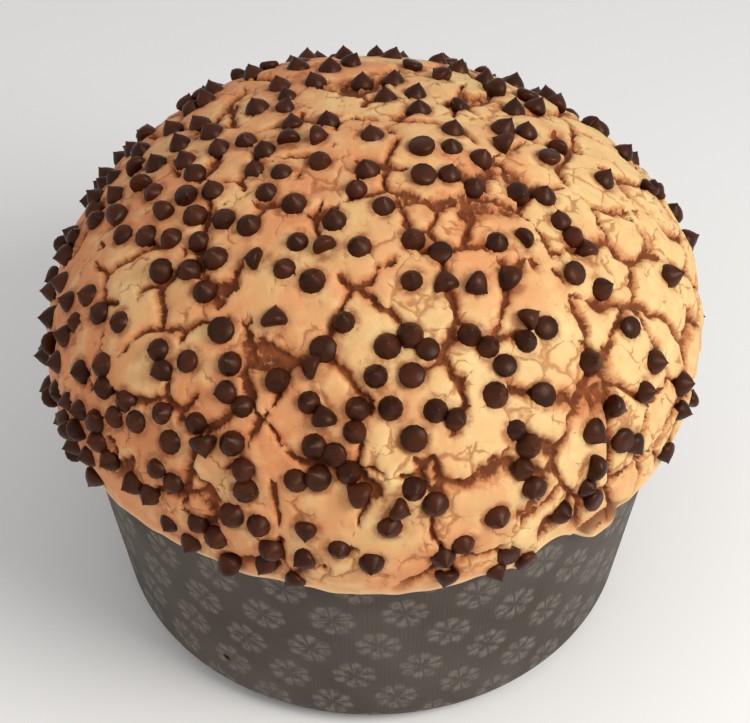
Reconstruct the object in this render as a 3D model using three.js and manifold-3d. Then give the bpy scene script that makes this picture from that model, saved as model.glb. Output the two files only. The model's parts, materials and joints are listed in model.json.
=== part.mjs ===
// A domed sweet loaf in the paper mould that it was baked in, its crust set with chocolate drops.
// Millimetres, +Z up. The origin is the middle of the mould's underside, where it stands.
// A bearing is in degrees from the front (-Y), growing towards the right (+X).
import * as THREE from "three";
import { mergeVertices } from "three/addons/utils/BufferGeometryUtils.js";
import Module from "manifold-3d";

const wasm = await Module();
wasm.setup();

// Paper mould
const PAPER = 0.8;
const WALL_HEIGHT = 84;
const FOOT_RADIUS = 82.5;
const RIM_RADIUS = 92.8;
const FOOT_ROUND = 10;
const HEM_RADIUS = 64;
const SEAM_BEARING = 180;
const SEAM_HALF_WIDTH = 6;
const DISC_RADIUS = 70.5;
const DISC_JOGGLE = 3;
const SKEWER_HOLE_RADIUS = 1.3;
const SKEWER_HEIGHT = 21;
const SKEWER_BEARINGS = [-31.5, -96.5, 83.5, 148.5];

// Loaf
const CROWN_RADIUS = 98.5;
const WIDEST_Z = 95.5;
const CROWN_RISE = 67.5;
const CROWN_DROP = 53;
const CROWN_ROUNDNESS = 2.08;
const LIP_Z = 83.2;
const LIP_THICKNESS = 3;

// Chocolate drops
const DROP_RADIUS = 3.6;
const DROP_HEIGHT = 5.7;
const DROP_HEART = 1.9;
const DROP_COUNT = 57;
const BELT_DROPS = 4;
const LOWEST_DROP = -0.03;
const SPIRAL_START = 132;
const CROWN_SHARE = 2.6;
const SIDEWAYS_EVERY = 7;

const FIT_GAP = 0.3;
const COLUMNS = 72;
const CROWN_STEPS = 17;
const FOOT_STEPS = 4;
const DROP_SIDES = 10;
const GOLDEN_ANGLE = 137.508;

// Broad swells of the crust: how far each stands, its direction and its place in the wave.
const SWELLS = [
  { stands: 0.8, way: [2.6, 1.1, 0.5], start: 0.4 },
  { stands: 0.7, way: [-1.4, 2.9, 1.2], start: 1.9 },
  { stands: 0.5, way: [3.8, -2.7, 2.2], start: 3.1 },
  { stands: 0.4, way: [-4.6, -3.1, 3.4], start: 5.0 },
  { stands: 0.3, way: [2.4, 6.3, -4.8], start: 0.9 },
];

// Places where the soft dough sagged over the rim before it set.
const LIP_SAGS = [
  { bearing: -170, drop: 2.5, spread: 14 },
  { bearing: -128, drop: 4, spread: 11 },
  { bearing: -88, drop: 3, spread: 12 },
  { bearing: -53, drop: 6.5, spread: 7 },
  { bearing: 2, drop: 4.8, spread: 14 },
  { bearing: 45, drop: 6.5, spread: 5.5 },
  { bearing: 66, drop: 3, spread: 9 },
  { bearing: 104, drop: 4.5, spread: 13 },
  { bearing: 148, drop: 3.5, spread: 10 },
];

const radians = THREE.MathUtils.degToRad;
const lean = Math.atan((RIM_RADIUS - FOOT_RADIUS) / WALL_HEIGHT);

function at(bearing, radius, z) {
  const turn = radians(bearing);
  return new THREE.Vector3(radius * Math.sin(turn), -radius * Math.cos(turn), z);
}

function bearingApart(a, b) {
  return Math.abs(((a - b + 540) % 360) - 180);
}

// Outer radius of the leaning paper wall, which is doubled where its ends are glued together.
function wallRadius(bearing, z) {
  const doubled = bearingApart(bearing, SEAM_BEARING) < SEAM_HALF_WIDTH ? PAPER : 0;
  return FOOT_RADIUS + z * Math.tan(lean) + doubled;
}

function lipHeight(bearing) {
  const sag = LIP_SAGS.reduce((sum, place) => {
    const away = bearingApart(bearing, place.bearing) / place.spread;
    return sum + place.drop * Math.exp(-away * away);
  }, 0);
  return LIP_Z - sag;
}

// Distance of the smooth crown from the middle of its widest level, in a direction of the given rise.
function crownReach(rise) {
  const tall = rise > 0 ? CROWN_RISE : CROWN_DROP;
  const flat = Math.sqrt(Math.max(0, 1 - rise * rise));
  const across = (flat / CROWN_RADIUS) ** CROWN_ROUNDNESS;
  const along = (Math.abs(rise) / tall) ** CROWN_ROUNDNESS;
  return (across + along) ** (-1 / CROWN_ROUNDNESS);
}

function swell(way) {
  return SWELLS.reduce((sum, wave) => {
    const phase = way.x * wave.way[0] + way.y * wave.way[1] + way.z * wave.way[2];
    return sum + wave.stands * Math.sin(phase + wave.start);
  }, 0);
}

// The crust's surface in a direction, with its swells fading out above the lip.
function crownPoint(bearing, rise) {
  const way = at(bearing, Math.sqrt(Math.max(0, 1 - rise * rise)), rise);
  const fade = THREE.MathUtils.smoothstep(rise, -0.08, 0.15);
  const reach = crownReach(rise) + fade * swell(way);
  return way.multiplyScalar(reach).add(new THREE.Vector3(0, 0, WIDEST_Z));
}

function crownNormal(bearing, rise) {
  const step = 0.01;
  const low = crownPoint(bearing, rise - step);
  const high = crownPoint(bearing, Math.min(rise + step, 0.9999));
  const left = crownPoint(bearing - 1, rise);
  const right = crownPoint(bearing + 1, rise);
  const around = right.sub(left);
  const upward = high.sub(low);
  return around.cross(upward).normalize();
}

// The rise at which the smooth crown comes down to a height below its widest level.
function riseAtHeight(z) {
  const down = (WIDEST_Z - z) / CROWN_DROP;
  const radius = CROWN_RADIUS * (1 - down ** CROWN_ROUNDNESS) ** (1 / CROWN_ROUNDNESS);
  return -(WIDEST_Z - z) / Math.hypot(radius, WIDEST_Z - z);
}

// A closed skin over columns of points, each drawn anticlockwise as seen with the axis on its left.
// The first and last points of a column are shared poles, or the column closes on itself.
function skin(columnAt, closesOnItself) {
  const columns = Array.from({ length: COLUMNS }, (_, i) => columnAt((i * 360) / COLUMNS));
  const length = columns[0].length;
  const bands = closesOnItself ? length : length - 1;
  const triangles = [];
  columns.forEach((here, i) => {
    const next = columns[(i + 1) % COLUMNS];
    for (let k = 0; k < bands; k += 1) {
      const after = (k + 1) % length;
      const startsAtPole = !closesOnItself && k === 0;
      const endsAtPole = !closesOnItself && after === length - 1;
      if (!startsAtPole) triangles.push(here[k], next[k], next[after]);
      if (!endsAtPole) triangles.push(here[k], next[after], here[after]);
    }
  });
  return new THREE.BufferGeometry().setFromPoints(triangles);
}

// Foot corner and leaning side of the mould, drawn inwards by an inset, from the foot up.
function mouldSide(bearing, inset, steps) {
  const end = FOOT_ROUND * (1 - Math.sin(lean));
  const centre = wallRadius(bearing, end) - FOOT_ROUND * Math.cos(lean);
  const round = FOOT_ROUND - inset;
  return Array.from({ length: steps + 1 }, (_, i) => {
    const turn = -Math.PI / 2 + (i / steps) * (Math.PI / 2 - lean);
    return at(bearing, centre + round * Math.cos(turn), FOOT_ROUND + round * Math.sin(turn));
  });
}

function wallColumn(bearing) {
  const outside = mouldSide(bearing, 0, FOOT_STEPS);
  const inside = mouldSide(bearing, PAPER, FOOT_STEPS).reverse();
  const rim = wallRadius(bearing, WALL_HEIGHT);
  return [
    at(bearing, HEM_RADIUS, 0),
    ...outside,
    at(bearing, rim, WALL_HEIGHT),
    at(bearing, rim - PAPER, WALL_HEIGHT),
    ...inside,
    at(bearing, HEM_RADIUS, PAPER),
  ];
}

// The crust from the top of the crown down to where it rounds over into the lip.
function crownColumn(bearing, lip, steps) {
  const lowest = Math.asin(riseAtHeight(lip + LIP_THICKNESS));
  const stride = (Math.PI / 2 - lowest) / steps;
  return Array.from({ length: steps + 1 }, (_, k) =>
    crownPoint(bearing, Math.sin(Math.PI / 2 - k * stride)),
  );
}

// The loaf from the middle of its underside, up inside the mould, over the rim and round the lip.
function loafColumn(bearing) {
  const lip = lipHeight(bearing);
  const crown = crownColumn(bearing, lip, CROWN_STEPS);
  const edge = crown[CROWN_STEPS];
  const outer = Math.hypot(edge.x, edge.y);
  const groove = wallRadius(bearing, WALL_HEIGHT) + FIT_GAP;
  const under = wallRadius(bearing, lip) + FIT_GAP;
  const inner = wallRadius(bearing, WALL_HEIGHT) - PAPER - FIT_GAP;
  const rimTop = WALL_HEIGHT + FIT_GAP;
  const overDisc = 2 * PAPER + 3 * FIT_GAP;
  return [
    new THREE.Vector3(0, 0, PAPER + FIT_GAP),
    at(bearing, HEM_RADIUS - DISC_JOGGLE - 1, PAPER + FIT_GAP),
    at(bearing, HEM_RADIUS + 1, overDisc),
    at(bearing, DISC_RADIUS + 1.5, overDisc),
    ...mouldSide(bearing, PAPER + FIT_GAP, FOOT_STEPS).slice(1),
    at(bearing, inner, rimTop),
    at(bearing, groove, rimTop),
    at(bearing, under, lip + 0.5),
    at(bearing, (outer + under) / 2, lip),
    at(bearing, outer - 0.7, lip + 1),
    ...crown.reverse(),
  ];
}

// The bottom disc lies on the table in the middle and steps up over the wall's turned-in hem.
function discProfile() {
  const low = HEM_RADIUS - DISC_JOGGLE;
  const high = HEM_RADIUS - FIT_GAP - 0.2;
  const raised = PAPER + FIT_GAP;
  return [
    [0, 0],
    [low, 0],
    [high, raised],
    [DISC_RADIUS, raised],
    [DISC_RADIUS, raised + PAPER],
    [high - 0.4, raised + PAPER],
    [low - 0.4, PAPER],
    [0, PAPER],
  ];
}

// Half outline of a chocolate drop, from the middle of its foot to its tip, grown by an even gap.
function dropProfile(grown) {
  return [
    [0, -grown],
    [DROP_RADIUS * 0.86 + grown * 0.7, -grown],
    [DROP_RADIUS + grown, DROP_HEIGHT * 0.14],
    [DROP_RADIUS * 0.9 + grown, DROP_HEIGHT * 0.35],
    [DROP_RADIUS * 0.45 + grown, DROP_HEIGHT * 0.67],
    [0, DROP_HEIGHT + grown * 1.5],
  ];
}

function turned(profile, sides) {
  const outline = profile.map(([radius, height]) => new THREE.Vector2(radius, height));
  return new THREE.LatheGeometry(outline, sides).rotateX(Math.PI / 2);
}

function solid(geometry) {
  const bare = geometry.clone();
  bare.deleteAttribute("normal");
  bare.deleteAttribute("uv");
  const merged = mergeVertices(bare, 1e-3);
  return new wasm.Manifold(
    new wasm.Mesh({
      numProp: 3,
      vertProperties: merged.attributes.position.array,
      triVerts: new Uint32Array(merged.index.array),
    }),
  );
}

function geometryOf(body) {
  const made = body.getMesh();
  const geometry = new THREE.BufferGeometry();
  geometry.setAttribute("position", new THREE.BufferAttribute(made.vertProperties, 3));
  geometry.setIndex(new THREE.BufferAttribute(made.triVerts, 1));
  return geometry;
}

// A repeatable run of numbers from 0 to 1.
function dice(seed) {
  let state = seed;
  return () => {
    state = (Math.imul(state, 1664525) + 1013904223) >>> 0;
    return state / 4294967296;
  };
}

// Where each drop sits: one on the crown, four round the widest level and the rest on a spiral.
function dropPlaces() {
  const roll = dice(20261);
  const spiral = DROP_COUNT - BELT_DROPS - 1;
  return Array.from({ length: DROP_COUNT }, (_, i) => {
    const along = i - BELT_DROPS - 1;
    const share = (along + CROWN_SHARE) / (spiral + CROWN_SHARE);
    const sideways = i % SIDEWAYS_EVERY === SIDEWAYS_EVERY - 1;
    const place = {
      bearing: SPIRAL_START + along * GOLDEN_ANGLE + 2 * roll(),
      rise: 1 - share * (1 - LOWEST_DROP) + 0.012 * roll(),
      tilt: sideways ? 65 + 15 * roll() : 18 * roll(),
      towards: 360 * roll(),
      size: 0.92 + 0.16 * roll(),
    };
    if (i === 0) return { ...place, bearing: 0, rise: 0.9995, tilt: 6 };
    if (i <= BELT_DROPS) return { ...place, bearing: 90 * (i - 1), rise: 0, tilt: 4 };
    return place;
  });
}

// A drop's heart stays near the crust, so that one on its side lies as deep as one standing up.
function seat(place) {
  const normal = crownNormal(place.bearing, place.rise);
  const upright = new THREE.Quaternion().setFromUnitVectors(new THREE.Vector3(0, 0, 1), normal);
  const tilted = new THREE.Quaternion()
    .setFromAxisAngle(new THREE.Vector3(0, 0, 1), radians(place.towards))
    .multiply(
      new THREE.Quaternion().setFromAxisAngle(new THREE.Vector3(1, 0, 0), radians(place.tilt)),
    );
  const turn = upright.multiply(tilted);
  const lift = 0.35 + 1.2 * Math.sin(radians(place.tilt));
  const heart = new THREE.Vector3(0, 0, DROP_HEART * place.size).applyQuaternion(turn);
  const position = crownPoint(place.bearing, place.rise).addScaledVector(normal, lift).sub(heart);
  return new THREE.Matrix4().compose(position, turn, new THREE.Vector3().setScalar(place.size));
}

const crustMaterial = () =>
  new THREE.MeshStandardMaterial({ color: 0xe1aa73, roughness: 0.75, metalness: 0 });
const paperMaterial = () =>
  new THREE.MeshStandardMaterial({ color: 0x50463e, roughness: 0.85, metalness: 0 });
const chocolateMaterial = () =>
  new THREE.MeshStandardMaterial({ color: 0x2f1712, roughness: 0.45, metalness: 0 });

function piece(name, geometry, material) {
  const mesh = new THREE.Mesh(geometry, material);
  mesh.name = name;
  return mesh;
}

function paperWall() {
  const holes = SKEWER_BEARINGS.map((bearing) => {
    const pin = new THREE.CylinderGeometry(SKEWER_HOLE_RADIUS, SKEWER_HOLE_RADIUS, 8, 12);
    const middle = at(bearing, wallRadius(bearing, SKEWER_HEIGHT), SKEWER_HEIGHT);
    pin.rotateZ(radians(bearing)).translate(middle.x, middle.y, middle.z);
    return solid(pin);
  });
  const sleeve = solid(skin(wallColumn, true));
  return geometryOf(holes.reduce((wall, hole) => wall.subtract(hole), sleeve));
}

function loaf(places) {
  const socket = solid(turned(dropProfile(FIT_GAP), DROP_SIDES));
  const sockets = places.map((place) => socket.transform(seat(place).toArray()));
  const body = solid(skin(loafColumn, false));
  return geometryOf(sockets.reduce((left, hollow) => left.subtract(hollow), body));
}

function chocolateDrops(places) {
  const shape = turned(dropProfile(0), DROP_SIDES);
  return places.map((place, i) => {
    const drop = piece(`chocolate_drop_${String(i + 1).padStart(2, "0")}`, shape, chocolateMaterial());
    drop.applyMatrix4(seat(place));
    return drop;
  });
}

const places = dropPlaces();
const panettone = new THREE.Group();
panettone.add(
  piece("loaf", loaf(places), crustMaterial()),
  piece("paper_wall", paperWall(), paperMaterial()),
  piece("paper_base", turned(discProfile(), COLUMNS), paperMaterial()),
  ...chocolateDrops(places),
);

export default panettone;
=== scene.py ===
"""A domed sweet loaf with chocolate drops, standing in its printed paper mould, on a pale table.

Lengths in this script are millimetres until a mesh is made, where they become metres.
A bearing is in degrees from the front (-Y), growing towards the right (+X).
"""
import json
import math

import bpy
import numpy as np
from mathutils import Matrix, Vector
from mathutils.bvhtree import BVHTree

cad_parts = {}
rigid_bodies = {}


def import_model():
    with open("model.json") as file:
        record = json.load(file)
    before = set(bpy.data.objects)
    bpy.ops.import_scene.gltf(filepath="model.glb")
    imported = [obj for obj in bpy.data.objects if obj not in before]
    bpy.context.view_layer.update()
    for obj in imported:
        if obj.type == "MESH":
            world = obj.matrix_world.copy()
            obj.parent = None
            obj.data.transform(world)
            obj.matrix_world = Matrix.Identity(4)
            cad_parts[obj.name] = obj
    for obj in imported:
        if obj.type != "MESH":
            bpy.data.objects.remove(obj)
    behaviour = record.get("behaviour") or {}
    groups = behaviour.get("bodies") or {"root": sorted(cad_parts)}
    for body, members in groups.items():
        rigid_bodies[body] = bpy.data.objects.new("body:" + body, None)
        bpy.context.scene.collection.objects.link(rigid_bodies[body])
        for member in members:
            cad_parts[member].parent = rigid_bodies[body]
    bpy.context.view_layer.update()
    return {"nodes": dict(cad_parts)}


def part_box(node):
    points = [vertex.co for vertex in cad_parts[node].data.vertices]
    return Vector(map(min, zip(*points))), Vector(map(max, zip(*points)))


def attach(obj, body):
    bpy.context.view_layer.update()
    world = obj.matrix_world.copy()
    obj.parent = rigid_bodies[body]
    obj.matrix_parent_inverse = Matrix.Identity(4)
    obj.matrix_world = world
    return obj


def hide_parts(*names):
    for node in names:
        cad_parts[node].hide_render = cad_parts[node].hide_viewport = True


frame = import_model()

MM = 0.001
BODY = "root"

# The mould: its rim is the frame's, and the rest is in the same terms as its solids.
WALL_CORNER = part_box("paper_wall")[1]
RIM_RADIUS = WALL_CORNER.x / MM
WALL_HEIGHT = WALL_CORNER.z / MM
FOOT_RADIUS = 82.5
FOOT_ROUND = 10.0
HEM_RADIUS = 64.0
PAPER = 0.8
SEAM_BEARING = 180.0
SEAM_WIDTH = 15.0
FLUTE_WIDTH = 1.3

# The printed clovers: their spacing round the wall and up it, how the rows slant, and where one lies.
CLOVER_ROW = 20.6
CLOVER_RISE = 15.1
CLOVER_SLANT = math.radians(-11)
CLOVER_START = (1.9, 62.0, 0)

# The holes for the two skewers that the loaf hangs from, upside down, while it cools.
SKEWER_RADIUS = 1.3
SKEWER_HEIGHT = 21.0
SKEWER_BEARINGS = (-31.5, -96.5, 83.5, 148.5)

# The loaf, in the same terms as its solid. The crust is a sheet of this many squares each way.
CROWN_RADIUS = 98.5
WIDEST_Z = 95.5
CROWN_RISE = 67.5
CROWN_DROP = 53.0
CROWN_ROUNDNESS = 2.08
LIP_Z = 83.2
LIP_THICKNESS = 3.0
FIT_GAP = 0.3
CRUST_CELLS = 276

# How far across the plates of crust are that the wide cracks and the fine cracks part.
PLATE_SIZE = 19
FINE_PLATE_SIZE = 8

# Broad swells of the crust: how far each stands, its direction and its place in the wave.
SWELLS = (
    (0.8, (2.6, 1.1, 0.5), 0.4),
    (0.7, (-1.4, 2.9, 1.2), 1.9),
    (0.5, (3.8, -2.7, 2.2), 3.1),
    (0.4, (-4.6, -3.1, 3.4), 5.0),
    (0.3, (2.4, 6.3, -4.8), 0.9),
)

# Where the soft dough sagged over the rim: bearing, drop and spread. The lobe at 42.5 is the one
# that a fold of crust lies over, with a notch beside it, and the last three are narrow tongues.
LIP_SAGS = (
    (-170, 2.5, 14),
    (-128, 4.0, 11),
    (-88, 3.0, 12),
    (-53, 6.5, 7),
    (2, 4.8, 14),
    (42.5, 6.8, 4.2),
    (32, -1.5, 3),
    (66, 3.0, 9),
    (104, 4.5, 13),
    (148, 3.5, 10),
    (25, 3.4, 1.6),
    (-20, 2.2, 2.4),
    (-150, 3.0, 3.0),
)

# The chocolate drops. The heart is the height above a drop's foot of the point it is placed by, and
# each kind has its tip's sideways bend and its height as a share of the usual.
DROP_HEIGHT = 5.7
DROP_RADIUS = 3.6
DROP_HEART = 1.9
DROPS_IN_ALL = 370
DROP_KINDS = ((0.0, 1.0), (0.9, 1.0), (0.5, 0.9), (-0.7, 1.08))
SMALLEST_DROP = 0.86
DROP_SIZES = 0.2
LOWEST_RISE = -0.12
BARE_ABOVE_LIP = 2.5
LEAST_LIFT = 0.2
MOST_LIFT = 1.9

# Drops that fell alone or huddled: how far apart their hearts keep, and how often and how far off
# one drop has another beside it.
LONE_SPACING = 7.6
HUDDLE_SPACING = 5.4
HUDDLE_CHANCE = 0.42
HUDDLE_REACH = 6.2

# The smooth flap that rolled over the rim on the left of the front.
FLAP_BEARING = -46.0
FLAP_SPREAD = 15.0
FLAP_HEIGHT = 11.0

# The fold of crust on the right of the front, and the half width and height that drops keep off.
FOLD_BEARING = 41.0
FOLD_REACH = 9
FOLD_HEIGHT = 15


def clear_scene_of_strays():
    """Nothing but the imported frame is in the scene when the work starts."""
    for thing in [o for o in bpy.data.objects if o.type in {"CAMERA", "LIGHT"}]:
        bpy.data.objects.remove(thing)


# --- The loaf's shape ---------------------------------------------------------------------------

def at(bearing, radius, z):
    """Points at bearings, each with its radius and its height."""
    turn = np.radians(bearing)
    return np.stack([radius * np.sin(turn), -radius * np.cos(turn), z + 0.0 * turn], axis=-1)


def bearing_apart(a, b):
    """How many degrees lie between two bearings, the short way round."""
    return np.abs((a - b + 540.0) % 360.0 - 180.0)


def wall_radius(bearing, z):
    return FOOT_RADIUS + z * (RIM_RADIUS - FOOT_RADIUS) / WALL_HEIGHT + 0.0 * bearing


def lip_height(bearing):
    """Height of the lip's lower edge: a level line with its sags and a ragged ripple."""
    sag = sum(drop * np.exp(-((bearing_apart(bearing, where) / spread) ** 2))
              for where, drop, spread in LIP_SAGS)
    turn = np.radians(bearing)
    ragged = 0.45 * np.sin(23 * turn + 1.0) + 0.35 * np.sin(41 * turn + 2.2) + 0.3 * np.sin(67 * turn)
    return LIP_Z - sag + ragged - 0.4


def crown_reach(rise):
    """Distance from the crown's middle to its smooth surface, for rises (sines of elevation)."""
    tall = np.where(rise > 0, CROWN_RISE, CROWN_DROP)
    flat = np.sqrt(np.clip(1 - rise * rise, 0, 1))
    across = (flat / CROWN_RADIUS) ** CROWN_ROUNDNESS
    along = (np.abs(rise) / tall) ** CROWN_ROUNDNESS
    return (across + along) ** (-1 / CROWN_ROUNDNESS)


def smoothstep(value, low, high):
    share = np.clip((value - low) / (high - low), 0, 1)
    return share * share * (3 - 2 * share)


def crown_point(bearing, rise):
    """The crust's surface before it cracked, for arrays of bearings and of rises."""
    bearing, rise = np.broadcast_arrays(np.asarray(bearing, float), np.asarray(rise, float))
    way = at(bearing, np.sqrt(np.clip(1 - rise * rise, 0, 1)), rise)
    swell = sum(stands * np.sin(way @ np.array(direction) + start)
                for stands, direction, start in SWELLS)
    reach = crown_reach(rise) + smoothstep(rise, -0.08, 0.15) * swell
    return way * reach[..., None] + np.array([0, 0, WIDEST_Z])


def crown_normal(bearing, rise):
    around = crown_point(bearing + 1, rise) - crown_point(bearing - 1, rise)
    upward = crown_point(bearing, np.minimum(rise + 0.01, 0.9999)) - crown_point(bearing, rise - 0.01)
    normal = np.cross(around, upward)
    return normal / np.linalg.norm(normal, axis=-1, keepdims=True)


def rise_at_height(z):
    """The rise at which the smooth surface, below its widest level, is at a height."""
    down = (WIDEST_Z - z) / CROWN_DROP
    radius = CROWN_RADIUS * (1 - down ** CROWN_ROUNDNESS) ** (1 / CROWN_ROUNDNESS)
    return -(WIDEST_Z - z) / np.hypot(radius, WIDEST_Z - z)


def mesh_object(name, points, faces):
    """A mesh object at the origin from points in millimetres and faces of point numbers."""
    mesh = bpy.data.meshes.new(name)
    mesh.from_pydata((np.asarray(points) * MM).tolist(), [], [list(map(int, f)) for f in faces])
    mesh.update()
    mesh.shade_smooth()
    made = bpy.data.objects.new(name, mesh)
    bpy.context.scene.collection.objects.link(made)
    return made


def store(mesh, name, kind, values):
    """Keeps a number or a vector for each point of a mesh under a name."""
    attribute = mesh.attributes.new(name, kind, "POINT")
    field = "vector" if kind == "FLOAT_VECTOR" else "value"
    attribute.data.foreach_set(field, np.asarray(values, np.float32).ravel())


def crust_sheet():
    """Squares in rings from the top of the crown to the lip: bearing and share of the way down."""
    line = np.linspace(-1, 1, CRUST_CELLS + 1)
    across, along = np.meshgrid(line, line, indexing="ij")
    wide = np.abs(across) > np.abs(along)
    major = np.where(wide, across, along)
    minor = np.where(wide, along, across)
    safe = np.where(major == 0, 1, major)
    turn = np.where(wide, 45 * minor / safe, 90 - 45 * minor / safe) + np.where(major < 0, 180, 0)
    return turn, np.abs(major)


def sheet_faces(size):
    number = np.arange(size * size).reshape(size, size)
    quads = np.stack([number[:-1, :-1], number[1:, :-1], number[1:, 1:], number[:-1, 1:]], axis=-1)
    return quads.reshape(-1, 4)


def sheet_border(size):
    """Numbers of the sheet's outer points, once round."""
    number = np.arange(size * size).reshape(size, size)
    return np.concatenate([number[:-1, 0], number[-1, :-1], number[:0:-1, -1], number[0, :0:-1]])


def foot_curve():
    """The wall's lean, the height where its rounded foot ends, and the radius of the rounding's middle."""
    lean = math.atan((RIM_RADIUS - FOOT_RADIUS) / WALL_HEIGHT)
    end = FOOT_ROUND * (1 - math.sin(lean))
    return lean, end, wall_radius(0.0, end) - FOOT_ROUND * math.cos(lean)


def mould_inside(bearing, inset):
    """Points up the inside of the rounded foot at each bearing, as rows from the table upwards."""
    lean, _, centre = foot_curve()
    rows = []
    for step in range(5):
        turn = -math.pi / 2 + step / 4 * (math.pi / 2 - lean)
        radius = centre + (FOOT_ROUND - inset) * math.cos(turn)
        rows.append(at(bearing, radius, FOOT_ROUND + (FOOT_ROUND - inset) * math.sin(turn)))
    return rows


def loaf_underneath(bearing, edge):
    """Rows of points from the lip's edge round under it, over the rim and down inside the mould."""
    lip = lip_height(bearing)
    outer = np.hypot(edge[:, 0], edge[:, 1])
    under = wall_radius(bearing, lip) + FIT_GAP
    groove = wall_radius(bearing, WALL_HEIGHT) + FIT_GAP
    inner = wall_radius(bearing, WALL_HEIGHT) - PAPER - FIT_GAP
    rim_top = np.maximum(WALL_HEIGHT + FIT_GAP, lip + 0.6)
    middle = (outer + under) / 2
    half = (outer - under) / 2
    low = np.minimum(lip, edge[:, 2] - 1.5)
    round_under = []
    for step in (0.25, 0.5, 0.75, 1.0, 1.3, 1.65):
        turn = step * math.pi / 2
        radius = middle + half * math.cos(turn)
        round_under.append(at(bearing, radius, edge[:, 2] - (edge[:, 2] - low) * math.sin(turn)))
    over_disc = 2 * PAPER + 3 * FIT_GAP
    return round_under + [
        at(bearing, groove, rim_top),
        at(bearing, inner, rim_top),
        *reversed(mould_inside(bearing, PAPER + FIT_GAP)[1:]),
        at(bearing, HEM_RADIUS + 8 + 0 * bearing, over_disc),
        at(bearing, HEM_RADIUS - 4 + 0 * bearing, PAPER + FIT_GAP),
    ]


def hump(value, middle, spread):
    """1 at a middle value, falling off smoothly on both sides."""
    return np.exp(-(((value - middle) / spread) ** 2))


def fold_at(bearing, height):
    """Where the crust folded over a sagging lobe, each from 0 to 1.

    The pocket is the hollow under the fold, the lobe its outer rim, and the shade the part inside the
    hollow that is painted darker as shade.
    """
    fold = 84.0 + 7.0 * hump(bearing, 40.0, 5.5)
    within = smoothstep(bearing, 33.5, 37.5) * (1 - smoothstep(bearing, 44.5, 49.0))
    pocket = smoothstep(fold - height, -0.3, 0.8) * (1 - smoothstep(fold - height, 1.2, 6.5))
    lobe = smoothstep(fold - height, 2.5, 9.0)
    shade = smoothstep(fold - height, -0.3, 0.8) * (1 - smoothstep(fold - height, 4.0, 9.5))
    return within * pocket, within * lobe, within * shade


def fill_out_lip(points):
    """Fattens the crust just over the lip, and tucks it in beside and behind the folded lobe."""
    bearing = np.degrees(np.arctan2(points[:, 0], -points[:, 1]))
    share = np.clip((points[:, 2] - lip_height(bearing) - LIP_THICKNESS) / 8.0, 0, 1)
    tucked = hump(bearing, 31.0, 4.0) * (1 - smoothstep(share, 0.2, 1.0))
    pocket, lobe, _ = fold_at(bearing, points[:, 2])
    stands = 1.3 * (1 - share) ** 2 - 2.6 * pocket + 1.6 * lobe - 3.0 * tucked
    radius = np.hypot(points[:, 0], points[:, 1])
    flank = radius > CROWN_RADIUS / 2
    grown = np.ones(len(points))
    grown[flank] = (radius[flank] + stands[flank]) / radius[flank]
    return points * np.stack([grown, grown, np.ones(len(points))], axis=-1)


def loaf_mesh():
    """Points and faces of the whole loaf, and how many of the points are the crust's."""
    size = CRUST_CELLS + 1
    turn, share = crust_sheet()
    turn = turn.ravel()
    share = share.ravel()
    lowest = np.degrees(np.arcsin(rise_at_height(lip_height(turn) + LIP_THICKNESS)))
    elevation = 90 - share * (90 - lowest)
    top = fill_out_lip(crown_point(turn, np.sin(np.radians(elevation))))
    border = sheet_border(size)
    columns = len(border)
    rows = loaf_underneath(turn[border], top[border])
    points = [top]
    faces = [sheet_faces(size)]
    here = border
    for k, row in enumerate(rows):
        points.append(row)
        below = len(top) + k * columns + np.arange(columns)
        faces.append(np.stack([here, below, np.roll(below, -1), np.roll(here, -1)], axis=-1))
        here = below
    points = np.concatenate(points)
    pole = len(points)
    points = np.concatenate([points, [[0, 0, PAPER + FIT_GAP]]])
    faces = [tuple(f) for f in np.concatenate(faces)]
    faces += [(here[(i + 1) % columns], here[i], pole) for i in range(columns)]
    return points, faces, len(top)


# --- Where the drops lie ------------------------------------------------------------------------

class Dice:
    """A repeatable run of numbers from 0 to 1."""

    def __init__(self, seed):
        self.state = seed

    def roll(self):
        self.state = (self.state * 1664525 + 1013904223) % 4294967296
        return self.state / 4294967296


def solid_drops():
    """The foot, axis and size of each drop that is already a solid of its own."""
    found = []
    for name, node in sorted(frame["nodes"].items()):
        if not name.startswith("chocolate_drop"):
            continue
        corners = np.array([v.co for v in node.data.vertices]) / MM
        middle = corners.mean(axis=0)
        tip = corners[np.argmax(np.linalg.norm(corners - middle, axis=1))]
        axis = (tip - middle) / np.linalg.norm(tip - middle)
        height = (corners @ axis).max() - (corners @ axis).min()
        foot = tip - axis * height
        found.append((foot, axis, height / DROP_HEIGHT))
    return found


def toward(way, direction, spread):
    """1 where a way points in a direction, falling off around it."""
    direction = np.array(direction) / np.linalg.norm(direction)
    return math.exp(-(1 - float(way @ direction)) / spread)


def drop_share(bearing, rise):
    """How thickly the drops fell: thickest on the left of the front, thinnest on the right and behind."""
    way = at(np.array(bearing), math.sqrt(max(0.0, 1 - rise * rise)), rise)
    thick = 0.44 * toward(way, (-0.6, -0.7, 0.35), 0.28)
    thin = 0.42 * toward(way, (0.93, -0.2, 0.35), 0.4) + 0.26 * toward(way, (-0.45, 0.6, 0.65), 0.3)
    return 0.42 + thick - thin


def seat(bearing, rise, tilt, towards, size, lift):
    """Foot and axis of a drop whose heart lies at a height above the crust."""
    normal = Vector(crown_normal(bearing, rise))
    upright = Vector((0, 0, 1)).rotation_difference(normal).to_matrix()
    spin = Matrix.Rotation(math.radians(towards), 3, "Z")
    lean = Matrix.Rotation(math.radians(tilt), 3, "X")
    axis = np.array(upright @ spin @ lean @ Vector((0, 0, 1)))
    heart = crown_point(bearing, rise) + np.array(normal) * lift
    return heart - axis * DROP_HEART * size, axis, size


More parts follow.
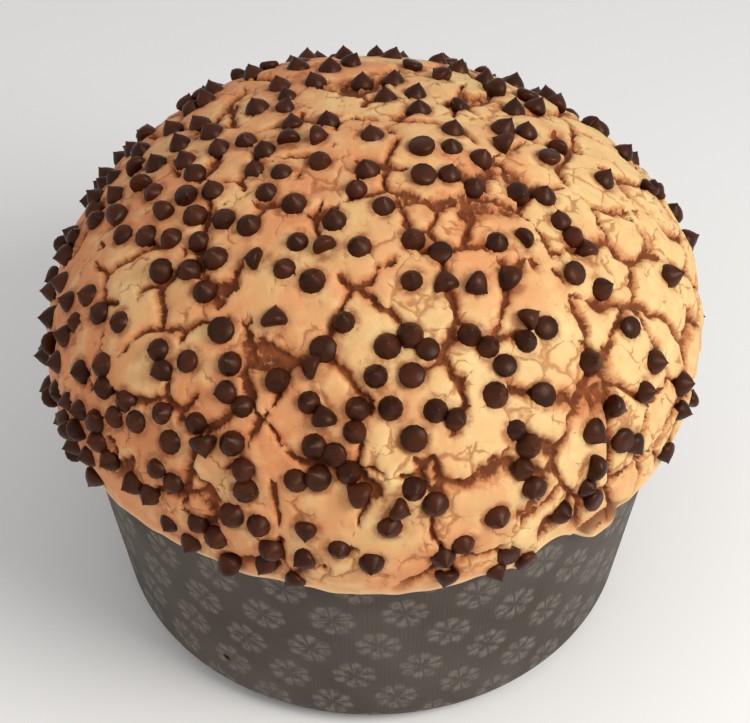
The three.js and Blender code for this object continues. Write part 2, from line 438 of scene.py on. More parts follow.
def scattered_drops(taken):
    """More drops thrown on the crust until it carries them all, some of them huddled together."""
    dice = Dice(4721)
    hearts = np.zeros((DROPS_IN_ALL, 3))
    hearts[:len(taken)] = [foot + axis * DROP_HEART for foot, axis, _ in taken]
    drops = []
    huddle = None
    while len(drops) + len(taken) < DROPS_IN_ALL:
        bearing = 360 * dice.roll() - 180
        rise = LOWEST_RISE + 1.1 * dice.roll()
        wanted = drop_share(bearing, rise)
        chance = dice.roll()
        tilt_roll = dice.roll()
        towards = 360 * dice.roll()
        size = SMALLEST_DROP + DROP_SIZES * dice.roll()
        if huddle:
            bearing, rise = beside(huddle, towards)
        elif chance > wanted:
            continue
        known = len(taken) + len(drops)
        place = crown_point(bearing, rise)
        near = np.sqrt(((hearts[:known] - place) ** 2).sum(axis=1).min())
        clear = near > (HUDDLE_SPACING if huddle else LONE_SPACING)
        huddle = None
        above = place[2] - lip_height(np.array(bearing))
        on_fold = bearing_apart(bearing, FOLD_BEARING) < FOLD_REACH and above < FOLD_HEIGHT
        on_flap = above < FLAP_HEIGHT * hump(bearing, FLAP_BEARING, FLAP_SPREAD)
        if not clear or above < BARE_ABOVE_LIP or on_fold or on_flap:
            continue
        tilt, lift = drop_lie(tilt_roll, math.sin(math.radians(bearing)))
        hearts[known] = place
        drops.append(seat(bearing, rise, tilt, towards, size, lift))
        if chance < HUDDLE_CHANCE * wanted:
            huddle = (bearing, rise)
    return drops


def beside(place, towards):
    """Bearing and rise of a spot about one drop's width away from a place."""
    bearing, rise = place
    step = HUDDLE_REACH / CROWN_RADIUS
    flank = max(0.15, math.sqrt(1 - rise * rise))
    aside = bearing + math.degrees(step * math.cos(math.radians(towards)) / flank)
    above = rise + step * flank * math.sin(math.radians(towards))
    return aside, min(0.995, max(LOWEST_RISE, above))


def drop_lie(roll, side):
    """Tilt and lift of a drop: tip out, leaning, on its side or tip down."""
    upside_down = 0.12 + 0.1 * side
    if roll < upside_down:
        return 168 + 20 * roll, -1.0
    if roll < upside_down + 0.16:
        return 80 + 60 * (roll - upside_down), 1.4
    if roll < upside_down + 0.4:
        return 28 + 80 * (roll - upside_down - 0.16), 0.7
    return 22 * (roll - 0.5), 0.35


# --- Node helpers -------------------------------------------------------------------------------

class Wiring:
    """Adds nodes to a tree and joins them, one call to a node."""

    def __init__(self, tree):
        self.tree = tree

    def node(self, kind, inputs=None, **settings):
        made = self.tree.nodes.new(kind)
        for key, value in settings.items():
            setattr(made, key, value)
        for key, value in (inputs or {}).items():
            self.put(made.inputs[key], value)
        return made

    def put(self, socket, value):
        if isinstance(value, bpy.types.NodeSocket):
            self.tree.links.new(value, socket)
        else:
            socket.default_value = value

    def math(self, operation, *values):
        made = self.node("ShaderNodeMath", dict(enumerate(values)), operation=operation)
        return made.outputs["Value"]

    def vector(self, operation, *values):
        made = self.node("ShaderNodeVectorMath", dict(enumerate(values)), operation=operation)
        return made.outputs["Vector"]

    def noise(self, place, size, detail=2.0, roughness=0.5):
        """Noise whose lumps are about a size across."""
        return self.node("ShaderNodeTexNoise", {"Vector": place, "Scale": 1 / size, "Detail": detail,
                                                "Roughness": roughness})

    def cells(self, place, size, feature):
        """Cells about a size across, each round a scattered point."""
        return self.node("ShaderNodeTexVoronoi", {"Vector": place, "Scale": 1 / size}, feature=feature)

    def ease(self, value, start, end, low=0.0, high=1.0):
        """A smooth change from low to high as the value goes from start to end."""
        made = self.node("ShaderNodeMapRange", {"Value": value, "From Min": start, "From Max": end,
                                                "To Min": low, "To Max": high},
                         interpolation_type="SMOOTHSTEP")
        return made.outputs["Result"]

    def mix(self, share, first, second):
        """The first colour with a share of the second; 0, 6, 7 and 2 are a colour mix's sockets."""
        return self.node("ShaderNodeMix", {0: share, 6: first, 7: second}, data_type="RGBA").outputs[2]

    def nudged(self, place, size, reach):
        """A place moved about by noise, so that what is drawn from it wanders."""
        shift = self.vector("SUBTRACT", self.noise(place, size).outputs["Color"], (0.5, 0.5, 0.5))
        return self.vector("MULTIPLY_ADD", shift, (reach, reach, reach), place)


def colour(red, green, blue):
    """A screen colour, 0 to 255, as the linear colour that shaders use."""
    parts = [c / 255 for c in (red, green, blue)]
    return tuple(c / 12.92 if c <= 0.04045 else ((c + 0.055) / 1.055) ** 2.4 for c in parts) + (1.0,)


# --- The crust's cracks, drawn alike in its shape and in its finish --------------------------------

def along_crack(wires, away, width, inner, outer):
    """1 near a crack's middle, 0 far from it: it changes between two multiples of the crack's width."""
    start = wires.math("MULTIPLY", width, inner)
    end = wires.math("MULTIPLY", width, outer)
    return wires.ease(away, start, end, 1.0, 0.0)


def crack_pattern(wires, rest):
    """The cracks between the plates of crust, as sockets.

    core and band are a wide crack's dark middle and its torn shoulders, fine is the small cracks,
    away is mm from a wide crack's middle, width is its half width in mm, level is the plate's own.
    """
    wandering = wires.nudged(wires.nudged(rest, 24, 11.5), 8, 4.0)
    stretched = wires.vector("MULTIPLY", wandering, (1.0, 1.0, 0.8))
    edge = wires.cells(stretched, PLATE_SIZE, "DISTANCE_TO_EDGE").outputs["Distance"]
    plate = wires.cells(stretched, PLATE_SIZE, "F1").outputs["Color"]
    level = wires.node("ShaderNodeSeparateXYZ", {0: plate}).outputs["X"]
    torn = wires.math("SUBTRACT", wires.noise(rest, 2.2, detail=3, roughness=0.6).outputs["Fac"], 0.47)
    away = wires.math("MULTIPLY_ADD", torn, 2.2, wires.math("MULTIPLY", edge, PLATE_SIZE))
    side = wires.node("ShaderNodeSeparateXYZ", {0: rest}).outputs["X"]
    strength = wires.noise(rest, 13, detail=2).outputs["Fac"]
    strength = wires.math("MULTIPLY_ADD", side, 0.0005, strength)
    width = wires.ease(strength, 0.4, 0.52, 0.0, 1.25)
    core = along_crack(wires, away, width, 0.4, 0.85)
    core = wires.math("MULTIPLY", core, wires.ease(width, 0.05, 0.3))
    band = along_crack(wires, away, width, 0.7, 1.7)
    band = wires.math("MULTIPLY", band, wires.ease(width, 0.05, 0.5))
    fine_place = wires.nudged(wires.nudged(rest, 6, 6.5), 2.2, 1.4)
    fine_edge = wires.cells(fine_place, FINE_PLATE_SIZE, "DISTANCE_TO_EDGE").outputs["Distance"]
    fine_away = wires.math("MULTIPLY", fine_edge, FINE_PLATE_SIZE)
    patch = wires.noise(rest, 12, detail=3).outputs["Fac"]
    patch = wires.math("MULTIPLY_ADD", side, 0.0006, patch)
    fine_width = wires.ease(patch, 0.48, 0.66, 0.03, 1.0)
    fine = along_crack(wires, fine_away, fine_width, 0.1, 1.0)
    return core, band, fine, away, width, level


def named(wires, name, kind):
    """An attribute of the mesh, read in a geometry tree."""
    made = wires.node("GeometryNodeInputNamedAttribute", {"Name": name}, data_type=kind)
    return made.outputs["Attribute"]


def new_geometry_tree(name, sizes):
    tree = bpy.data.node_groups.new(name, "GeometryNodeTree")
    tree.interface.new_socket("Geometry", in_out="INPUT", socket_type="NodeSocketGeometry")
    tree.interface.new_socket("Geometry", in_out="OUTPUT", socket_type="NodeSocketGeometry")
    for label in sizes:
        tree.interface.new_socket(label, in_out="INPUT", socket_type="NodeSocketFloat")
    wires = Wiring(tree)
    return tree, wires, wires.node("NodeGroupInput"), wires.node("NodeGroupOutput")


def keep_plain_mesh(piece):
    """Gives a piece the mesh that its modifiers make of it, and takes the modifiers off."""
    bpy.context.view_layer.update()
    depsgraph = bpy.context.evaluated_depsgraph_get()
    mesh = bpy.data.meshes.new_from_object(
        piece.evaluated_get(depsgraph), preserve_all_data_layers=True, depsgraph=depsgraph)
    piece.modifiers.clear()
    piece.data = mesh


def apply_tree(piece, tree, values):
    """Runs a geometry tree on a piece and keeps its result as a plain mesh."""
    modifier = piece.modifiers.new(tree.name, "NODES")
    modifier.node_group = tree
    sockets = {item.name: item.identifier for item in tree.interface.items_tree if item.in_out == "INPUT"}
    for label, value in values.items():
        modifier[sockets[label]] = value
    keep_plain_mesh(piece)
    piece.data.shade_smooth()


def finish_tree(wires, result, geometry, finish):
    """Ends a geometry tree: what it made becomes plain mesh with its finish on."""
    plain = wires.node("GeometryNodeRealizeInstances", {"Geometry": geometry})
    dressed = wires.node("GeometryNodeSetMaterial", {"Geometry": plain.outputs["Geometry"],
                                                     "Material": finish})
    wires.put(result.inputs["Geometry"], dressed.outputs["Geometry"])


def crack_the_crust(loaf, finish):
    """Sinks the cracks into the loaf and roughens its plates."""
    sizes = {"Crack depth": 1.5, "Band depth": 0.4, "Shoulder depth": 0.35, "Fine depth": 0.55,
             "Lump height": 1.7, "Plate step": 0.8}
    tree, wires, given, result = new_geometry_tree("crust cracks", sizes)
    rest = named(wires, "rest", "FLOAT_VECTOR")
    open_crust = named(wires, "cracked", "FLOAT")
    core, band, fine, away, width, level = crack_pattern(wires, rest)
    strong = wires.ease(width, 0.3, 1.3)
    shoulder = wires.math("MULTIPLY", wires.ease(away, 0.0, 4.5, 1.0, 0.0), strong)
    side = wires.node("ShaderNodeSeparateXYZ", {0: rest}).outputs["X"]
    lumps = wires.math("SUBTRACT", wires.noise(rest, 11, detail=2.5, roughness=0.45).outputs["Fac"], 0.52)
    lumps = wires.math("MULTIPLY", lumps, wires.math("MULTIPLY_ADD", side, 0.004, 1.0))
    depth = wires.math("MULTIPLY", core, given.outputs["Crack depth"])
    depth = wires.math("MULTIPLY_ADD", shoulder, given.outputs["Shoulder depth"], depth)
    depth = wires.math("MULTIPLY_ADD", band, given.outputs["Band depth"], depth)
    depth = wires.math("MULTIPLY_ADD", fine, given.outputs["Fine depth"], depth)
    height = wires.math("MULTIPLY", lumps, given.outputs["Lump height"])
    step = wires.math("MULTIPLY", wires.math("SUBTRACT", level, 0.5), given.outputs["Plate step"])
    height = wires.math("MULTIPLY_ADD", step, strong, height)
    height = wires.math("ADD", wires.math("SUBTRACT", height, depth), 0.5)
    height = wires.math("MULTIPLY", wires.math("MULTIPLY", height, open_crust), MM)
    normal = wires.node("GeometryNodeInputNormal").outputs["Normal"]
    offset = wires.vector("SCALE", normal)
    wires.put(offset.node.inputs["Scale"], height)
    moved = wires.node("GeometryNodeSetPosition", {"Geometry": given.outputs["Geometry"], "Offset": offset})
    finish_tree(wires, result, moved.outputs["Geometry"], finish)
    apply_tree(loaf, tree, sizes)


# --- Finishes -----------------------------------------------------------------------------------

def new_finish(name):
    material = bpy.data.materials.new(name)
    material.use_nodes = True
    material.node_tree.nodes.clear()
    wires = Wiring(material.node_tree)
    surface = wires.node("ShaderNodeBsdfPrincipled")
    wires.node("ShaderNodeOutputMaterial", {"Surface": surface.outputs["BSDF"]})
    return material, wires, surface


def crust_mark(wires, name):
    """One of the numbers stored over the crust, read in its finish."""
    return wires.node("ShaderNodeAttribute", attribute_name=name).outputs["Fac"]


def baked_gold_and_side_shade(wires, rest, mottle, away):
    """The plates' colour: a random bake tone pushed browner towards the left as painted shade on the side
    away from the lamp, paler in patches and toasted towards the cracks.
    """
    side = wires.node("ShaderNodeSeparateXYZ", {0: rest}).outputs["X"]
    bake_and_left_shade = wires.noise(rest, 30, detail=3).outputs["Fac"]
    # Painted shade: the tone turns browner and more orange towards the left, the side away from the lamp.
    bake_and_left_shade = wires.math("MULTIPLY_ADD", side, -0.0024, bake_and_left_shade)
    golden = wires.mix(wires.ease(bake_and_left_shade, 0.28, 0.72), colour(225, 189, 130), colour(218, 143, 94))
    golden = wires.mix(wires.ease(mottle, 0.48, 0.8, 0.0, 0.4), golden, colour(214, 140, 84))
    pale = wires.noise(rest, 8, detail=3).outputs["Fac"]
    golden = wires.mix(wires.ease(pale, 0.5, 0.72, 0.0, 0.4), golden, colour(240, 212, 150))
    toast = wires.noise(rest, 19, detail=4, roughness=0.6).outputs["Fac"]
    toast_near = wires.ease(away, 0.4, 3.2, 1.0, 0.25)
    toasted = wires.math("MULTIPLY", wires.ease(toast, 0.48, 0.68), toast_near)
    return wires.mix(wires.math("MULTIPLY", toasted, 0.45), golden, colour(184, 98, 56))


def crust_finish():
    """Golden plates with torn brown edges, dark seams, a painted shadow round each drop mixed with melted
    chocolate, a pale lip with a painted highlight along its edge, and painted shade in the hollow under the
    fold.
    """
    material, wires, surface = new_finish("baked crust")
    rest = wires.node("ShaderNodeAttribute", attribute_name="rest").outputs["Vector"]
    open_crust = crust_mark(wires, "cracked")
    core, band, fine, away, _, _ = crack_pattern(wires, rest)
    mottle = wires.noise(rest, 4.5, detail=4, roughness=0.6).outputs["Fac"]
    golden = baked_gold_and_side_shade(wires, rest, mottle, away)
    band = wires.math("MULTIPLY", band, open_crust)
    golden = wires.mix(wires.math("MULTIPLY", band, 0.7), golden, colour(186, 108, 60))
    # Painted shadow round each drop's foot, partly a real brown smear of melted chocolate, broken up by the
    # mottle.
    smear = wires.ease(mottle, 0.38, 0.62, 0.15, 1.0)
    drop_shadow_and_melt = wires.ease(crust_mark(wires, "near_drop"), 3.6, 5.6, 0.8, 0.0)
    golden = wires.mix(wires.math("MULTIPLY", drop_shadow_and_melt, smear), golden, colour(150, 82, 46))
    # The pale lip: the smooth overhang is paler crust, with a painted highlight along its lower edge.
    lip = wires.math("MULTIPLY", crust_mark(wires, "lip"), 0.6)
    golden = wires.mix(lip, golden, colour(244, 206, 156))
    # Painted shade: the hollow under the fold is darkened to brown.
    pocket = wires.math("MULTIPLY", crust_mark(wires, "pocket"), 0.95)
    golden = wires.mix(pocket, golden, colour(112, 60, 32))
    fine = wires.math("MULTIPLY", fine, open_crust)
    golden = wires.mix(wires.math("MULTIPLY", fine, 0.7), golden, colour(164, 98, 54))
    cracked = wires.math("MULTIPLY", core, open_crust)
    seam_tone = wires.mix(wires.ease(mottle, 0.4, 0.65), colour(92, 42, 20), colour(130, 68, 34))
    tinted = wires.mix(wires.math("MULTIPLY", cracked, 0.92), golden, seam_tone)
    wires.put(surface.inputs["Base Color"], tinted)
    wires.put(surface.inputs["Roughness"], wires.ease(cracked, 0.0, 1.0, 0.6, 0.88))
    grain = wires.noise(rest, 1.5, detail=4, roughness=0.6).outputs["Fac"]
    relief = wires.math("MULTIPLY_ADD", grain, 0.14, wires.math("MULTIPLY", cracked, -0.25))
    relief = wires.math("MULTIPLY_ADD", mottle, 0.25, relief)
    bump = wires.node("ShaderNodeBump", {"Height": relief, "Distance": 1.2 * MM, "Strength": 0.7})
    wires.put(surface.inputs["Normal"], bump.outputs["Normal"])
    surface.inputs["Specular IOR Level"].default_value = 0.22
    return material


def place_in_mm(wires):
    place = wires.node("ShaderNodeTexCoord").outputs["Object"]
    return wires.vector("MULTIPLY", place, (1 / MM, 1 / MM, 1 / MM))


def chocolate_finish():
    """Dark brown, faintly clouded with bloom, with a soft warm sheen."""
    material, wires, surface = new_finish("dark chocolate")
    mm = place_in_mm(wires)
    tone = wires.noise(mm, 7, detail=1).outputs["Fac"]
    bloom = wires.noise(mm, 1.4, detail=3).outputs["Fac"]
    brown = wires.mix(wires.ease(tone, 0.35, 0.65), colour(44, 17, 6), colour(66, 28, 12))
    brown = wires.mix(wires.ease(bloom, 0.55, 0.8, 0.0, 0.3), brown, colour(88, 52, 38))
    wires.put(surface.inputs["Base Color"], brown)
    wires.put(surface.inputs["Roughness"], wires.ease(bloom, 0.3, 0.8, 0.36, 0.55))
    bump = wires.node("ShaderNodeBump", {"Height": bloom, "Distance": 0.15 * MM, "Strength": 0.4})
    wires.put(surface.inputs["Normal"], bump.outputs["Normal"])
    surface.inputs["Specular IOR Level"].default_value = 0.27
    surface.inputs["Specular Tint"].default_value = (1.0, 0.72, 0.55, 1.0)
    return material


def clover(wires, across, along):
    """A printed clover, drawn in one eighth and mirrored: 1 inside, 0 outside.

    Each of its four petals has two lobes, a stalk and a vein, all in mm from the clover's middle.
    """
    a = wires.math("ABSOLUTE", across)
    b = wires.math("ABSOLUTE", along)
    long_way = wires.math("MAXIMUM", a, b)
    short_way = wires.math("MINIMUM", a, b)
    lobe_a = wires.math("SUBTRACT", long_way, 4.5)
    lobe_b = wires.math("SUBTRACT", short_way, 1.6)
    lobe = wires.math("SQRT", wires.math("ADD", wires.math("MULTIPLY", lobe_a, lobe_a),
                                         wires.math("MULTIPLY", lobe_b, lobe_b)))
    in_lobe = wires.ease(lobe, 0.9, 2.6, 1.0, 0.0)
    stalk = wires.math("SUBTRACT", short_way, wires.math("MULTIPLY", long_way, 0.42))
    in_stalk = wires.math("MULTIPLY", wires.ease(stalk, -0.25, 0.25, 1.0, 0.0),
                          wires.ease(long_way, 4.4, 5.0, 1.0, 0.0))
    vein = wires.ease(short_way, 0.1, 0.65, 0.2, 1.0)
    return wires.math("MULTIPLY", wires.math("MAXIMUM", in_lobe, in_stalk), vein)


def paper_finish():
    """Dark brown fluted paper, printed outside with a lighter all-over clover."""
    material, wires, surface = new_finish("printed mould paper")
    uv = wires.node("ShaderNodeUVMap", uv_map="around").outputs["UV"]
    mm = wires.vector("MULTIPLY", uv, (1 / MM, 1 / MM, 0))
    centred = wires.vector("SUBTRACT", mm, CLOVER_START)
    turned = wires.node("ShaderNodeMapping", {"Vector": centred, "Rotation": (0, 0, CLOVER_SLANT)})
    lattice = wires.node("ShaderNodeSeparateXYZ", {0: turned.outputs["Vector"]})
    prints = []
    for shift in (0.0, 1.0):
        across = wires.math("ADD", lattice.outputs["X"], shift * CLOVER_ROW / 2)
        across = wires.math("PINGPONG", across, CLOVER_ROW / 2)
        along = wires.math("ADD", lattice.outputs["Y"], shift * CLOVER_RISE)
        along = wires.math("PINGPONG", along, CLOVER_RISE)
        prints.append(clover(wires, across, wires.math("MULTIPLY", along, 0.9)))
    printed = wires.math("MAXIMUM", *prints)
    wear = wires.noise(mm, 2.4, detail=4, roughness=0.75).outputs["Fac"]
    printed = wires.math("MULTIPLY", printed, wires.ease(wear, 0.36, 0.62, 0.15, 1.0))
    cloud = wires.noise(mm, 40, detail=3).outputs["Fac"]
    ground = wires.mix(wires.ease(cloud, 0.3, 0.7), colour(63, 53, 44), colour(80, 71, 63))
    ground = wires.mix(wires.ease(wear, 0.5, 0.8, 0.0, 0.3), ground, colour(60, 46, 38))
    wires.put(surface.inputs["Base Color"], wires.mix(printed, ground, colour(108, 100, 90)))
    wires.put(surface.inputs["Roughness"], wires.ease(printed, 0.0, 1.0, 0.72, 0.6))
    run = wires.node("ShaderNodeSeparateXYZ", {0: mm}).outputs["X"]
    flute = wires.math("SINE", wires.math("MULTIPLY", run, 2 * math.pi / FLUTE_WIDTH))
    fibre = wires.noise(mm, 0.7, detail=3).outputs["Fac"]
    relief = wires.math("MULTIPLY_ADD", flute, 0.18, wires.math("MULTIPLY", fibre, 0.25))
    bump = wires.node("ShaderNodeBump", {"Height": relief, "Distance": 0.3 * MM, "Strength": 0.5})
    wires.put(surface.inputs["Normal"], bump.outputs["Normal"])
    surface.inputs["Specular IOR Level"].default_value = 0.4
    return material


def plain_paper_finish():
    """The unprinted underside of the mould."""
    material, wires, surface = new_finish("plain mould paper")
    mm = place_in_mm(wires)
    cloud = wires.noise(mm, 22, detail=4).outputs["Fac"]
    fibre = wires.noise(mm, 1.1, detail=4, roughness=0.7).outputs["Fac"]
    brown = wires.mix(wires.ease(cloud, 0.3, 0.7), colour(84, 66, 50), colour(104, 84, 66))
    brown = wires.mix(wires.ease(fibre, 0.5, 0.8, 0.0, 0.4), brown, colour(62, 46, 34))
    wires.put(surface.inputs["Base Color"], brown)
    wires.put(surface.inputs["Roughness"], wires.ease(fibre, 0.3, 0.7, 0.7, 0.9))
    bump = wires.node("ShaderNodeBump", {"Height": fibre, "Distance": 0.2 * MM, "Strength": 0.5})
    wires.put(surface.inputs["Normal"], bump.outputs["Normal"])
    return material


def table_finish():
    material, wires, surface = new_finish("pale table")
    rest = wires.node("ShaderNodeTexCoord").outputs["Object"]
    cloud = wires.noise(rest, 0.4, detail=2).outputs["Fac"]
    wires.put(surface.inputs["Base Color"], wires.mix(cloud, (0.86, 0.86, 0.86, 1), (0.9, 0.9, 0.9, 1)))
    surface.inputs["Roughness"].default_value = 0.9
    return material


# --- Pieces -------------------------------------------------------------------------------------

def nearest_drop(points, drops):
    """Distance from each point to the middle of the nearest drop's foot, in millimetres."""
    hearts = np.array([foot + axis * DROP_HEART * 0.5 for foot, axis, _ in drops])
    nearest = np.full(len(points), 99.0)
    for heart in hearts:
        nearest = np.minimum(nearest, np.linalg.norm(points - heart, axis=1))
    return nearest


def make_loaf(drops):
    """The loaf, with what its cracks and colours follow stored over it: see the five store calls."""
    points, faces, on_top = loaf_mesh()
    loaf = mesh_object("loaf_baked", points, faces)
    crust = points[:on_top]
    turn = np.degrees(np.arctan2(crust[:, 0], -crust[:, 1]))
    above_lip = np.zeros(len(points))
    above_lip[:on_top] = crust[:, 2] - lip_height(turn)
    # Painted shade inside the hollow under the fold, stored under the name pocket.
    pocket = np.zeros(len(points))
    pocket[:on_top] = fold_at(turn, crust[:, 2])[2]
    smooth = np.zeros(len(points))
    smooth[:on_top] = FLAP_HEIGHT * hump(turn, FLAP_BEARING, FLAP_SPREAD)
    store(loaf.data, "rest", "FLOAT_VECTOR", points)
    store(loaf.data, "near_drop", "FLOAT", nearest_drop(points, drops))
    store(loaf.data, "cracked", "FLOAT", smoothstep(above_lip - smooth, 1.5, 9.0))
    store(loaf.data, "pocket", "FLOAT", pocket)
    # The lip band: paler crust with a painted highlight along its edge.
    store(loaf.data, "lip", "FLOAT", 1 - smoothstep(above_lip, 0.0, 5.0))
    crack_the_crust(loaf, crust_finish())
    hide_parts("loaf")
    return loaf


def settled(drops, loaf):
    """The drops again, each moved in or out until its heart lies close above the finished crust."""
    tree = BVHTree.FromPolygons([v.co / MM for v in loaf.data.vertices],
                                [p.vertices for p in loaf.data.polygons])
    middle = Vector((0, 0, WIDEST_Z - 20))
    moved = []
    for foot, axis, size in drops:
        heart = Vector(foot + axis * DROP_HEART * size)
        way = (heart - middle).normalized()
        hit = tree.ray_cast(middle + way * 2 * CROWN_RADIUS, -way)[0]
        lift = (heart - hit).dot(way)
        wanted = min(max(lift, LEAST_LIFT), MOST_LIFT)
        moved.append((foot + np.array(way) * (wanted - lift), axis, size))
    return moved


def drop_outline(bend):
    """Radius, height and sideways shift of each ring of a drop, from its foot to its tip."""
    rings = ((0.84, 0.0), (1.0, 0.14), (0.97, 0.32), (0.79, 0.52), (0.5, 0.71), (0.2, 0.86))
    return [(DROP_RADIUS * wide, DROP_HEIGHT * high, bend * high ** 3) for wide, high in rings]


def drop_shape(name, bend, squat, finish):
    """One drop with a few dozen faces, its foot at the origin and its tip upwards."""
    sides = 12
    points = []
    for radius, height, shift in drop_outline(bend):
        for k in range(sides):
            turn = 2 * math.pi * k / sides
            points.append((radius * math.cos(turn) + shift, radius * math.sin(turn), height * squat))
    rings = len(points) // sides
    foot = len(points)
    points.append((0, 0, 0.1))
    points.append((bend, 0, DROP_HEIGHT * squat))
    faces = []
    for ring in range(rings - 1):
        for k in range(sides):
            a = ring * sides + k
            b = ring * sides + (k + 1) % sides
            faces.append((a, b, b + sides, a + sides))
    top = (rings - 1) * sides
    for k in range(sides):
        faces.append((foot, (k + 1) % sides, k))
        faces.append((top + k, top + (k + 1) % sides, foot + 1))
    shape = mesh_object(name, points, faces)
    shape.data.materials.append(finish)
    return shape


def shelf_of_drops(finish):
    """A collection with one drop of each kind, to copy from."""
    shelf = bpy.data.collections.new("drop shapes")
    bpy.context.scene.collection.children.link(shelf)
    for k, (bend, squat) in enumerate(DROP_KINDS):
        shape = drop_shape(f"drop_shape_{k}", bend, squat, finish)
        bpy.context.scene.collection.objects.unlink(shape)
        shelf.objects.link(shape)
    return shelf


def clear_shelf(shelf):
    for shape in list(shelf.objects):
        bpy.data.objects.remove(shape)
    bpy.data.collections.remove(shelf)


def drop_setting_tree(shelf, finish):
    """The geometry tree that sets a drop from the shelf, turned and sized, on each point."""
    tree, wires, given, result = new_geometry_tree("set the drops", ["Drop size"])
    collection = wires.node("GeometryNodeCollectionInfo", {"Collection": shelf, "Separate Children": True,
                                                          "Reset Children": True})
    turn = wires.node("FunctionNodeEulerToRotation", {0: named(wires, "turn", "FLOAT_VECTOR")})
    scale = wires.math("MULTIPLY", named(wires, "size", "FLOAT"), given.outputs["Drop size"])
    pick = wires.node("FunctionNodeRandomValue", {"Seed": 7}, data_type="INT")
    largest = next(i for i in pick.inputs if i.name == "Max" and i.type == "INT")
    largest.default_value = len(DROP_KINDS) - 1
    cloud = wires.node("GeometryNodeMeshToPoints", {"Mesh": given.outputs["Geometry"]})
    placed = wires.node("GeometryNodeInstanceOnPoints", {
        "Points": cloud.outputs["Points"], "Instance": collection.outputs["Instances"],
        "Pick Instance": True, "Instance Index": pick.outputs[2],
        "Rotation": turn.outputs[0], "Scale": scale})
    finish_tree(wires, result, placed.outputs["Instances"], finish)
    return tree


def make_drops(drops):
    """Every drop as an instance of one of a few shapes, then all as one plain mesh."""
    finish = chocolate_finish()
    shelf = shelf_of_drops(finish)
    topping = mesh_object("chocolate_drops", [foot for foot, _, _ in drops], [])
    dice = Dice(99)
    turns = []
    for _, axis, _ in drops:
        stand = Vector((0, 0, 1)).rotation_difference(Vector(axis))
        spin = Matrix.Rotation(2 * math.pi * dice.roll(), 3, "Z")
        turns.append((stand.to_matrix() @ spin).to_euler())
    store(topping.data, "turn", "FLOAT_VECTOR", turns)
    store(topping.data, "size", "FLOAT", [size for _, _, size in drops])
    apply_tree(topping, drop_setting_tree(shelf, finish), {"Drop size": 1.0})
    clear_shelf(shelf)
    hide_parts(*[n for n in frame["nodes"] if n.startswith("chocolate_drop")])
    return topping


def wall_rows():
    """Radius and height along the wall's outer face and its inner face, each from the hem to the rim."""
    lean, end, centre = foot_curve()
    foot_steps = 10
    wall_steps = 12

    def side(inset):
        rows = [(HEM_RADIUS, inset)]
        for k in range(foot_steps + 1):
            turn = -math.pi / 2 + k / foot_steps * (math.pi / 2 - lean)
            bend = FOOT_ROUND - inset
            rows.append((centre + bend * math.cos(turn), FOOT_ROUND + bend * math.sin(turn)))
        for k in range(1, wall_steps + 1):
            z = end + (WALL_HEIGHT - end) * k / wall_steps
            rows.append((wall_radius(0.0, z) - inset, z))
        return rows

    return side(0.0), side(PAPER)


def pierce(wall):
    """Cuts the four holes near the foot, for the skewers that it hangs from to cool."""
    sides = 16
    upward = np.array([0, 0, 1])
    points = []
    faces = []
    for bearing in SKEWER_BEARINGS:
        first = len(points)
        way = at(np.array(bearing), 1.0, 0.0)
        aside = np.cross(upward, way)
        for reach in (FOOT_RADIUS - 8, RIM_RADIUS + 4):
            for k in range(sides):
                turn = 2 * math.pi * k / sides
                spoke = SKEWER_RADIUS * (math.cos(turn) * aside + math.sin(turn) * upward)
                points.append(way * reach + spoke + SKEWER_HEIGHT * upward)
        ring = [first + k for k in range(sides)]
        faces.append(ring[::-1])
        faces.append([k + sides for k in ring])
        for k in range(sides):
            a = ring[k]
            b = ring[(k + 1) % sides]
            faces.append([a, b, b + sides, a + sides])
    pins = mesh_object("skewers", points, faces)
    cut = wall.modifiers.new("skewer holes", "BOOLEAN")
    cut.operation = "DIFFERENCE"
    cut.solver = "EXACT"
    cut.object = pins
    keep_plain_mesh(wall)
    bpy.data.objects.remove(pins)


def lay_out_print(wall, section, columns):
    """The wall's UV map, in metres: across is the run round the wall, up is the run along its section."""
    run = [0.0]
    for (r0, z0), (r1, z1) in zip(section, section[1:]):
        run.append(run[-1] + math.hypot(r1 - r0, z1 - z0))
    run.append(run[-1] + PAPER)
    girth = 2 * math.pi * (RIM_RADIUS + FOOT_RADIUS) / 2
    coords = []
    for polygon in wall.data.polygons:
        i, k = divmod(polygon.vertices[0], len(section))
        for step_i, step_k in ((0, 0), (1, 0), (1, 1), (0, 1)):
            coords.append((((i + step_i) / columns - 0.5) * girth * MM, run[k + step_k] * MM))
    layer = wall.data.uv_layers.new(name="around")
    layer.data.foreach_set("uv", np.array(coords, np.float32).ravel())


def make_wall():
    """The wall, raised where its ends lap and are glued, with its print and its skewer holes."""
    outside, inside = wall_rows()
    section = outside + inside[::-1]
    columns = 480
    bearings = np.arange(columns) * 360 / columns - 180
    points = []
    for bearing in bearings:
        lap = bearing_apart(bearing, SEAM_BEARING) * math.pi / 180 * RIM_RADIUS
        raised = PAPER * 0.9 * float(lap < SEAM_WIDTH / 2)
        for radius, z in section:
            outer = z > FOOT_ROUND * 0.5
            points.append(at(np.array(bearing), radius + (raised if outer else 0), z))
    count = len(section)
    faces = []
    for i in range(columns):
        j = (i + 1) % columns
        for k in range(count):
            m = (k + 1) % count
            faces.append((i * count + k, j * count + k, j * count + m, i * count + m))
    wall = mesh_object("mould_wall", points, faces)
    lay_out_print(wall, section, columns)
    wall.data.materials.append(paper_finish())
    pierce(wall)
    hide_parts("paper_wall")
    return wall


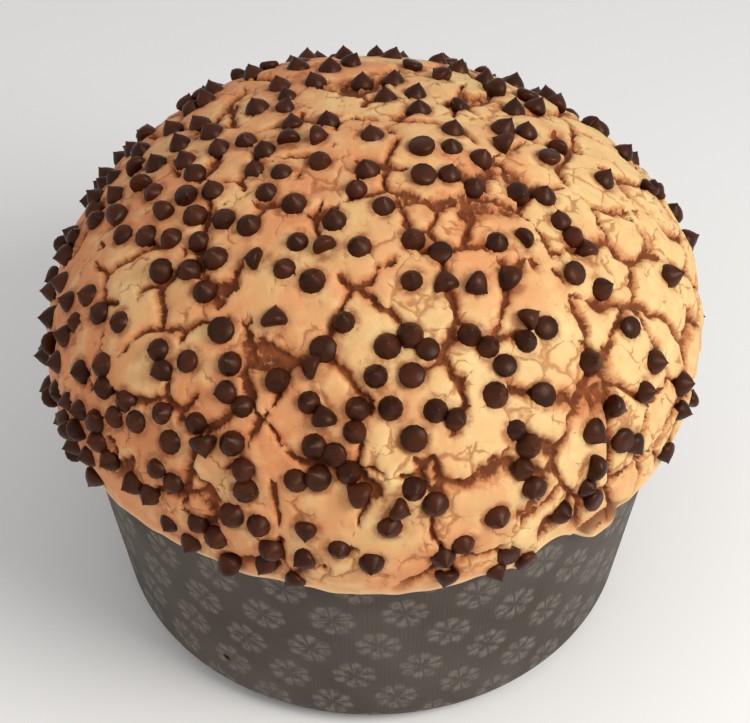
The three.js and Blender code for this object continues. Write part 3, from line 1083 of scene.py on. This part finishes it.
def dress_base():
    """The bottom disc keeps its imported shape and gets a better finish."""
    base = frame["nodes"]["paper_base"]
    base.data.materials.clear()
    base.data.materials.append(plain_paper_finish())


# --- The table, the lights and the camera ----------------------------------------------------------

def make_table():
    half = 1500.0
    low = -0.2
    corners = [(-half, -half, low), (half, -half, low), (half, half, low), (-half, half, low)]
    table = mesh_object("table", corners, [(0, 1, 2, 3)])
    table.data.materials.append(table_finish())


def soft_light(name, place, size, power, tint):
    """A round lamp that looks at the middle of the loaf."""
    data = bpy.data.lights.new(name, "AREA")
    data.shape = "DISK"
    data.size = size
    data.energy = power
    data.color = tint
    light = bpy.data.objects.new(name, data)
    light.location = place
    light.rotation_euler = (Vector((0, 0, 0.08)) - Vector(place)).to_track_quat("-Z", "Y").to_euler()
    bpy.context.scene.collection.objects.link(light)


def make_lights():
    soft_light("window_right", (0.5, -0.36, 0.62), 0.42, 4.7, (1.0, 0.97, 0.92))
    soft_light("room_left", (-0.6, -0.5, 0.6), 0.9, 0.6, (1.0, 0.9, 0.8))
    world = bpy.data.worlds.new("studio")
    world.use_nodes = True
    world.node_tree.nodes["Background"].inputs["Color"].default_value = (1, 1, 1, 1)
    world.node_tree.nodes["Background"].inputs["Strength"].default_value = 0.58
    bpy.context.scene.world = world
    bpy.context.scene.view_settings.view_transform = "Standard"


def make_camera():
    """Looks down at the front from a little over half a metre away."""
    distance = 0.52
    pitch = math.radians(42.5)
    aim = Vector((0.0009, 0, 0.077))
    data = bpy.data.cameras.new("viewer")
    data.sensor_fit = "HORIZONTAL"
    data.sensor_width = 36
    data.lens = 79.2
    camera = bpy.data.objects.new("viewer", data)
    camera.location = aim + distance * Vector((0, -math.cos(pitch), math.sin(pitch)))
    camera.rotation_euler = (math.pi / 2 - pitch, 0, 0)
    bpy.context.scene.collection.objects.link(camera)
    bpy.context.scene.camera = camera


clear_scene_of_strays()
make_camera()
make_lights()
make_table()
solids = solid_drops()
all_drops = solids + scattered_drops(solids)
loaf = make_loaf(all_drops)
for piece in (loaf, make_drops(settled(all_drops, loaf)), make_wall()):
    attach(piece, BODY)
dress_base()
